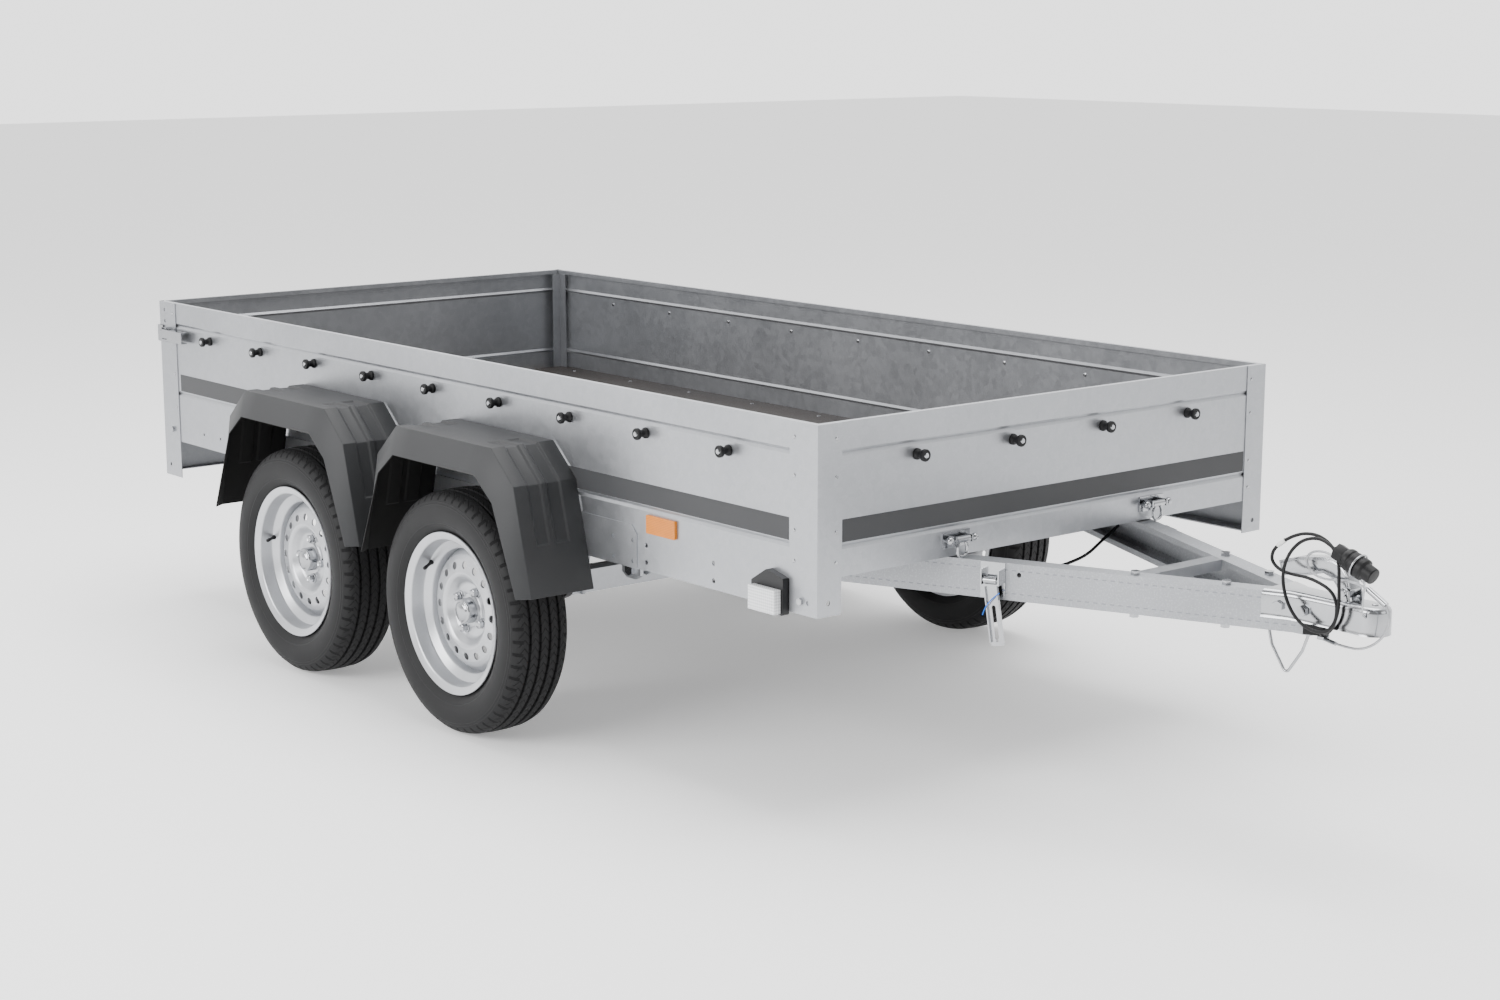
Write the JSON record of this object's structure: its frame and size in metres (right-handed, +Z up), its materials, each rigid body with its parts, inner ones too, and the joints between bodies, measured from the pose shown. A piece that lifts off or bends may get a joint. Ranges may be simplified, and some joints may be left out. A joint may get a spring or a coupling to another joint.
{
  "type": "livestock trailer",
  "caption": "Low-sided box trailer with two torsion axles, drop tailgate, side panels with tarp buttons and a tipping V drawbar with a ball coupling.",
  "frame": {"origin": "on the ground under the middle of the overall length and width", "axes": "+X forward to the coupling, +Y left, +Z up"},
  "size_m": [3.5615, 1.7, 0.81],
  "materials": {
    "galvanised": "satin",
    "galvanised_dark": "satin",
    "zinc_plated": "gloss",
    "rim_silver": "gloss",
    "black_steel": "satin",
    "tyre_rubber": "matte",
    "black_rubber": "satin",
    "guard_plastic": "matte",
    "lamp_black": "satin",
    "clear_lens": "gloss",
    "red_lens": "gloss",
    "amber": "gloss",
    "plywood": "satin",
    "steel_rope": "satin",
    "blue_cord": "matte"
  },
  "bodies": {
    "chassis": {"axle_tubes": "galvanised", "chassis_fasteners": "zinc_plated", "cross_members": "galvanised", "floor_board": "plywood", "front_lenses": "clear_lens", "front_panel": "galvanised", "front_post_left": "galvanised", "front_post_right": "galvanised", "gate_fittings": "galvanised", "guard_plates": "galvanised", "lamp_housings": "lamp_black", "light_board": "galvanised_dark", "mudguards_left": "guard_plastic", "mudguards_right": "guard_plastic", "rear_lenses": "red_lens", "rear_post_left": "galvanised", "rear_post_right": "galvanised", "ring_brackets": "zinc_plated", "side_panel_left": "galvanised", "side_panel_right": "galvanised", "side_rail_left": "galvanised", "side_rail_right": "galvanised", "side_reflectors": "amber", "tarp_knobs": "black_rubber"},
    "drawbar": {"drawbar_left": "galvanised", "drawbar_right": "galvanised", "cross_tie": "galvanised", "drawbar_fittings": "zinc_plated", "coupling_head": "zinc_plated", "support_strip": "zinc_plated", "electric_cable": "black_rubber", "plug": "lamp_black", "cord_fittings": "zinc_plated", "cable_grommet": "black_rubber", "safety_rope": "steel_rope", "wiring_lead": "black_rubber"},
    "coupling_handle": {"coupling_handle": "zinc_plated"},
    "tailgate": {"tailgate": "galvanised", "gate_straps": "zinc_plated"},
    "rear_arm_left": {"rear_swing_arm_left": "black_steel"},
    "rear_wheel_left": {"rear_rim_left": "rim_silver", "rear_tyre_left": "tyre_rubber"},
    "rear_arm_right": {"rear_swing_arm_right": "black_steel"},
    "rear_wheel_right": {"rear_rim_right": "rim_silver", "rear_tyre_right": "tyre_rubber"},
    "front_arm_left": {"front_swing_arm_left": "black_steel"},
    "front_wheel_left": {"front_rim_left": "rim_silver", "front_tyre_left": "tyre_rubber"},
    "front_arm_right": {"front_swing_arm_right": "black_steel"},
    "front_wheel_right": {"front_rim_right": "rim_silver", "front_tyre_right": "tyre_rubber"},
    "latch_lever_left": {"latch_lever_left": "zinc_plated"},
    "latch_link_left": {"latch_link_left": "zinc_plated"},
    "toggle_left": {"toggle_lever_left": "zinc_plated"},
    "ring_left": {"locking_ring_left": "zinc_plated"},
    "latch_lever_right": {"latch_lever_right": "zinc_plated"},
    "latch_link_right": {"latch_link_right": "zinc_plated"},
    "toggle_right": {"toggle_lever_right": "zinc_plated", "lanyard": "blue_cord"},
    "ring_right": {"locking_ring_right": "zinc_plated"}
  },
  "joints": [
    {"name": "tailgate_drop", "type": "hinge", "parent": "chassis", "child": "tailgate", "pos_m": [-1.751, 0, 0.498], "axis": [0, -1, 0], "range_deg": [0, 90]},
    {"name": "drawbar_tip", "type": "hinge", "parent": "chassis", "child": "drawbar", "pos_m": [0.285, 0, 0.414], "axis": [0, 1, 0], "range_deg": [0, 12]},
    {"name": "handle_lift", "type": "hinge", "parent": "drawbar", "child": "coupling_handle", "pos_m": [1.68, 0, 0.524], "axis": [0, 1, 0], "range_deg": [0, 50]},
    {"name": "rear_arm_left_swing", "type": "hinge", "parent": "chassis", "child": "rear_arm_left", "pos_m": [-0.615, 0.6, 0.353], "axis": [0, 1, 0], "range_deg": [-6, 10], "stiffness_Nm_per_rad": 4000, "springref_deg": -0.57},
    {"name": "rear_wheel_left_spin", "type": "hinge", "parent": "rear_arm_left", "child": "rear_wheel_left", "pos_m": [-0.805, 0.749, 0.2735], "axis": [0, 1, 0], "continuous": true},
    {"name": "rear_arm_right_swing", "type": "hinge", "parent": "chassis", "child": "rear_arm_right", "pos_m": [-0.615, -0.6, 0.353], "axis": [0, 1, 0], "range_deg": [-6, 10], "stiffness_Nm_per_rad": 4000, "springref_deg": -0.57},
    {"name": "rear_wheel_right_spin", "type": "hinge", "parent": "rear_arm_right", "child": "rear_wheel_right", "pos_m": [-0.805, -0.749, 0.2735], "axis": [0, 1, 0], "continuous": true},
    {"name": "front_arm_left_swing", "type": "hinge", "parent": "chassis", "child": "front_arm_left", "pos_m": [0.077, 0.6, 0.353], "axis": [0, 1, 0], "range_deg": [-6, 10], "stiffness_Nm_per_rad": 4000, "springref_deg": -2.29},
    {"name": "front_wheel_left_spin", "type": "hinge", "parent": "front_arm_left", "child": "front_wheel_left", "pos_m": [-0.113, 0.749, 0.2735], "axis": [0, 1, 0], "continuous": true},
    {"name": "front_arm_right_swing", "type": "hinge", "parent": "chassis", "child": "front_arm_right", "pos_m": [0.077, -0.6, 0.353], "axis": [0, 1, 0], "range_deg": [-6, 10], "stiffness_Nm_per_rad": 4000, "springref_deg": -2.29},
    {"name": "front_wheel_right_spin", "type": "hinge", "parent": "front_arm_right", "child": "front_wheel_right", "pos_m": [-0.113, -0.749, 0.2735], "axis": [0, 1, 0], "continuous": true},
    {"name": "latch_lever_left_swing", "type": "hinge", "parent": "chassis", "child": "latch_lever_left", "pos_m": [-1.705, 0.668, 0.724], "axis": [0, 0, 1], "range_deg": [0, 90]},
    {"name": "latch_link_left_swing", "type": "hinge", "parent": "latch_lever_left", "child": "latch_link_left", "pos_m": [-1.683, 0.674, 0.724], "axis": [0, 0, 1], "range_deg": [-90, 0]},
    {"name": "toggle_left_swing", "type": "hinge", "parent": "drawbar", "child": "toggle_left", "pos_m": [1.02147, 0.27647, 0.47], "axis": [0.9204, -0.3911, 0], "range_deg": [0, 140]},
    {"name": "ring_left_swing", "type": "hinge", "parent": "chassis", "child": "ring_left", "pos_m": [0.955, 0.291, 0.545], "axis": [0, -1, 0], "range_deg": [0, 100]},
    {"name": "latch_lever_right_swing", "type": "hinge", "parent": "chassis", "child": "latch_lever_right", "pos_m": [-1.705, -0.668, 0.724], "axis": [0, 0, -1], "range_deg": [0, 90]},
    {"name": "latch_link_right_swing", "type": "hinge", "parent": "latch_lever_right", "child": "latch_link_right", "pos_m": [-1.683, -0.674, 0.724], "axis": [0, 0, -1], "range_deg": [-90, 0]},
    {"name": "toggle_right_swing", "type": "hinge", "parent": "drawbar", "child": "toggle_right", "pos_m": [1.02147, -0.27647, 0.47], "axis": [-0.9204, -0.3911, 0], "range_deg": [0, 140]},
    {"name": "ring_right_swing", "type": "hinge", "parent": "chassis", "child": "ring_right", "pos_m": [0.955, -0.291, 0.545], "axis": [0, -1, 0], "range_deg": [0, 100]}
  ],
  "couplings": [
    {"joint": "latch_link_left_swing", "follows": "latch_lever_left_swing", "ratio": -1},
    {"joint": "latch_link_right_swing", "follows": "latch_lever_right_swing", "ratio": -1}
  ]
}
